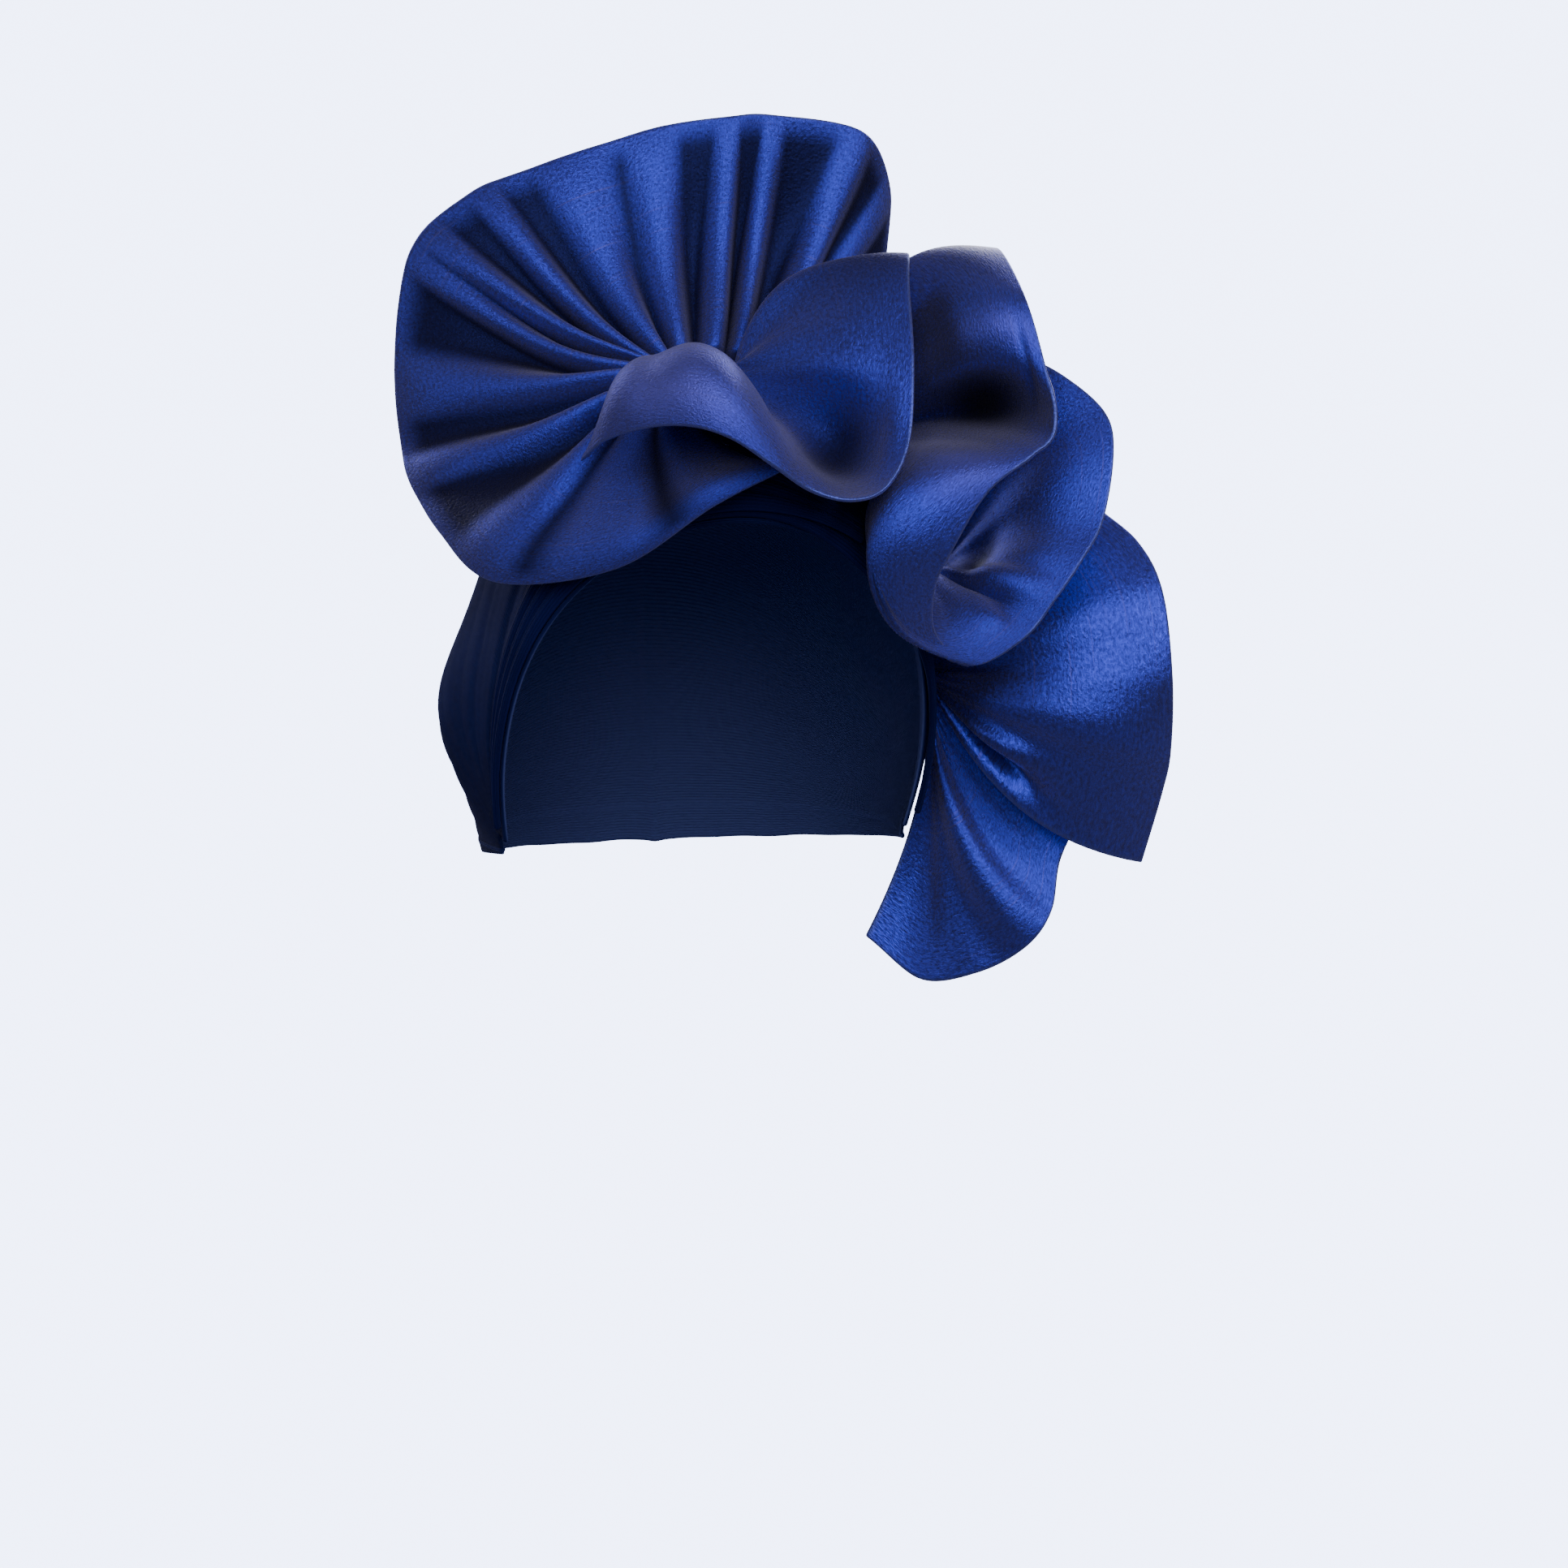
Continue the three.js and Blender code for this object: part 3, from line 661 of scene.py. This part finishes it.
# The last column paints shade on the upper petal's top, its pool and the lobe's valley, and a painted
# highlight on its arc and the flange.
SCROLL_DENTS = [
    (0.9, 0.20, 0.9, 0.35, 0.0, 0.75),
    (2.5, 0.34, 0.45, 0.35, -1.0, -0.5),
    (3.9, 0.42, 0.60, 0.26, 3.0, 1.0),
    (3.2, 0.12, 0.70, 0.035, 0.8, 0.3),
    (5.7, 0.35, 0.60, 0.35, -1.5, -0.8),
    (8.3, 0.55, 1.3, 0.30, 3.0, 0.8),
    (13.4, 0.66, 1.6, 0.10, -3.0, 0.9),
    (13.6, 0.28, 1.6, 0.22, 1.5, 0.0),
    (10.9, 0.30, 0.25, 0.14, 1.2, 0.0),
    (11.7, 0.42, 0.25, 0.16, -1.5, 0.3),
]
middle, painted_light_and_shade = ribs(SIDE_SCROLL, SCROLL_FOLDS, SCROLL_DENTS, 1.3, *grid(400, 110))
side_scroll = cloth("side_scroll_cloth", middle, SATIN_WALL, (0.330, 0.085), painted_light_and_shade)
side_scroll.data.materials.append(navy_satin)
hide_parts("side_scroll")
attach(side_scroll, "root")

# The side flap. Past the scroll the strip of satin spreads out nearly flat from the cap's left side,
# where it is sewn down in small gathers. Its rim is raw, and it ends below in a straight cut with a fold
# above it.

# Ribs with the columns of FRONT_CURL, and folds and dents with those of FAN_FOLDS and CURL_DENTS.
SIDE_FLAP = [
    (104, 72, 8, 96, 56, 16, 80, 30, 22, 0.24, 0.853),
    (114, 60, 12, 102, 46, 20, 84, 24, 24, 0.24, 0.858),
    (122, 46, 16, 108, 36, 26, 88, 16, 26, 0.24, 0.863),
    (137, 33, 22, 118, 24, 35, 92, 8, 29, 0.24, 0.869),
    (145, 17.5, 28, 124, 12, 41, 94, 0, 31, 0.24, 0.875),
    (148, -8, 31, 126, -6, 44, 96, -10, 32, 0.24, 0.881),
    (147.25, -31, 26, 126, -26, 40, 96, -20, 30, 0.24, 0.887),
    (144.5, -44, 18, 122, -40, 31, 95, -30, 26, 0.24, 0.892),
    (138.25, -65, 6, 116, -62, 17, 93, -50, 15, 0.24, 0.897),
]
FLAP_FOLDS = [
    (3.2, 3.0, 0.6, 0.5, 0.0, 1.5, 1.5),
    (4.6, 4.9, 0.4, 0.4, 0.0, 1.5, 2.0),
    (5.9, 6.0, 0.5, 0.4, 0.0, -3.0, -1.0),
    (8.0, 7.4, 0.22, 0.25, 0.0, 2.0, 2.0),
]
# The last column paints a little shade beside the fold above the cut.
FLAP_DENTS = [
    (7.58, 0.66, 0.20, 0.17, 4.5, 0.0),
    (7.15, 0.70, 0.25, 0.20, -3.5, 0.2),
    (4.6, 0.30, 1.2, 0.35, 1.5, 0.0),
    (3.9, 0.78, 0.25, 0.12, -2.0, 0.0),
]
middle, painted_light_and_shade = ribs(SIDE_FLAP, FLAP_FOLDS, FLAP_DENTS, 1.6, *grid(220, 100))
side_flap = cloth("side_flap_cloth", middle, SATIN_WALL, (0.115, 0.085), painted_light_and_shade)
side_flap.data.materials.append(navy_satin)
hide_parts("side_flap")
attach(side_flap, "root")

# The tail flap. The last length of the satin strip hangs below the flap, from small gathers sewn down
# near the cap's lower left corner. Its rim and its cut end are raw, and one broad valley runs down it.

# Ribs with the columns of FRONT_CURL, and folds with those of FAN_FOLDS. The tail has no dents.
TAIL_FLAP = [
    (118, -38, 0, 104, -30, 4, 86, -18, 4, 0.275, 0.893),
    (119, -50, 1, 104, -46, 3, 89, -34, 3, 0.268, 0.901),
    (113, -65, 3, 102, -58, 4, 88, -44, 3, 0.26, 0.909),
    (110.5, -80, 5, 100, -68, 4, 86, -48, 2, 0.255, 0.916),
    (103, -91, 5, 92, -74, 3, 84, -52, 0, 0.25, 0.921),
    (88, -99, 3, 82, -78, 1, 80, -56, -2, 0.25, 0.926),
    (70, -101, -1, 72, -80, -2, 76, -58, -4, 0.25, 0.931),
    (54, -88, -8, 61, -74, -7, 70, -54, -6, 0.25, 0.938),
]
TAIL_FOLDS = [
    (2.2, 2.6, 0.6, 0.5, 0.0, 3.0, 0.0),
    (3.7, 4.8, 0.60, 0.6, -3.0, -10.0, -2.0),
    (6.2, 6.4, 0.8, 0.5, 3.0, 5.0, 0.0),
]
middle, painted_light_and_shade = ribs(TAIL_FLAP, TAIL_FOLDS, [], 1.6, *grid(180, 90))
tail_flap = cloth("tail_flap_cloth", middle, SATIN_WALL, (0.085, 0.075), painted_light_and_shade)
tail_flap.data.materials.append(navy_satin)
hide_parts("tail_flap")
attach(tail_flap, "root")

# The stage. A wide floor and a surround of pale paper, which look brighter than they shine on the satin.
# One broad soft light hangs in front, with a weak one at the left, a small one at the right and two
# behind. The camera is at the photograph's angle.

PAPER = "#ccd7ff"
PAPER_GLOW = 8.0
PAPER_SEEN, PAPER_UNSEEN = "#40424e", "#5c5f74"  # the floor's own colour, for the camera and for the lights
ROOM = "#d8d2e2"
ROOM_BRIGHT_SIDE = (0.1, 0.6, 0.8)  # the surround shines most from behind and above
FLOOR_HALF = 6.0
FLOOR_DROP = 0.12  # how far the floor lies below the lowest point
low = cad_box[0][2] - FLOOR_DROP
corners = [(x * FLOOR_HALF, y * FLOOR_HALF, low) for x, y in ((-1, -1), (1, -1), (1, 1), (-1, 1))]
floor_mesh = bpy.data.meshes.new("floor")
floor_mesh.from_pydata(corners, [], [(0, 1, 2, 3)])
floor = bpy.data.objects.new("floor", floor_mesh)
bpy.context.collection.objects.link(floor)
floor_paint, tree, output = new_material("pale_lavender_paper")
seen = add(tree, "ShaderNodeLightPath")
glow = add(tree, "ShaderNodeMath", {"operation": "MULTIPLY"}, _0=seen.outputs["Is Camera Ray"])
glow.inputs[1].default_value = PAPER_GLOW
paper = add(tree, "ShaderNodeMix",
            {"data_type": "RGBA", "A": linear(PAPER_UNSEEN), "B": linear(PAPER_SEEN)},
            Factor=seen.outputs["Is Camera Ray"])
paint = add(tree, "ShaderNodeBsdfPrincipled", {"Emission Color": linear(PAPER), "Roughness": 0.9},
            Base_Color=paper.outputs["Result"], Emission_Strength=glow.outputs["Value"])
tree.links.new(paint.outputs["BSDF"], output.inputs["Surface"])
floor_mesh.materials.append(floor_paint)

world = bpy.data.worlds.new("pale_room")
world.use_nodes = True
tree = world.node_tree
tree.nodes.clear()
seen = add(tree, "ShaderNodeLightPath")
way = add(tree, "ShaderNodeTexCoord")
behind = add(tree, "ShaderNodeVectorMath", {"operation": "DOT_PRODUCT"}, _0=way.outputs["Generated"])
behind.inputs[1].default_value = ROOM_BRIGHT_SIDE
shine = add(tree, "ShaderNodeMapRange", {"From Min": -0.1, "From Max": 1.0, "To Min": 0.03, "To Max": 0.5},
            Value=behind.outputs["Value"])
room = add(tree, "ShaderNodeBackground", {"Color": linear(ROOM)}, Strength=shine.outputs["Result"])
sweep = add(tree, "ShaderNodeBackground", {"Color": linear(PAPER), "Strength": PAPER_GLOW})
either = add(tree, "ShaderNodeMixShader", {}, _0=seen.outputs["Is Camera Ray"],
             _1=room.outputs["Background"], _2=sweep.outputs["Background"])
add(tree, "ShaderNodeOutputWorld", {}, Surface=either.outputs["Shader"])
bpy.context.scene.world = world


def placed(x_axis, y_axis, z_axis, place):
    """The matrix that turns an object's axes to the given ones and puts it at a place: its first three
    columns are the axes and its last is the place."""
    matrix = np.eye(4)
    matrix[:3] = np.stack([x_axis, y_axis, z_axis, place], axis=-1)
    return Matrix(matrix.tolist())


LIGHTS_AIM = (0.02, 0, 0.04)
# Square soft lights. Columns: place and size in metres, power in watts.
LIGHTS = {
    "window": ((-0.20, -1.55, 0.85), 1.2, 14),
    "doorway": ((-1.30, -0.60, 0.50), 0.6, 1.8),
    "reflector": ((1.1, -1.1, 0.8), 0.5, 6),
    "back_left": ((1.0, 1.6, 0.9), 1.3, 26),
    "back_right": ((-0.8, 1.7, 0.8), 1.0, 12),
}
for name, (place, size, power) in LIGHTS.items():
    light = bpy.data.lights.new(name, "AREA")
    light.size = size
    light.energy = power
    lamp = bpy.data.objects.new(name, light)
    z_axis = unit(np.subtract(place, LIGHTS_AIM))
    x_axis = unit(np.cross((0, 0, 1), z_axis))
    lamp.matrix_world = placed(x_axis, np.cross(z_axis, x_axis), z_axis, place)
    bpy.context.collection.objects.link(lamp)

SENSOR_MM = 36
VIEW_WIDTH = 0.483  # what fills the width of the view at the origin's distance, in metres
lens = bpy.data.cameras.new("camera")
lens.sensor_width = SENSOR_MM
lens.lens = SENSOR_MM * EYE_DISTANCE / VIEW_WIDTH
camera = bpy.data.objects.new("camera", lens)
eye = EYE_MIDDLE[0] * ACROSS + EYE_MIDDLE[1] * UP + EYE_DISTANCE * OUT
camera.matrix_world = placed(ACROSS, UP, OUT, eye)
bpy.context.collection.objects.link(camera)
bpy.context.scene.camera = camera
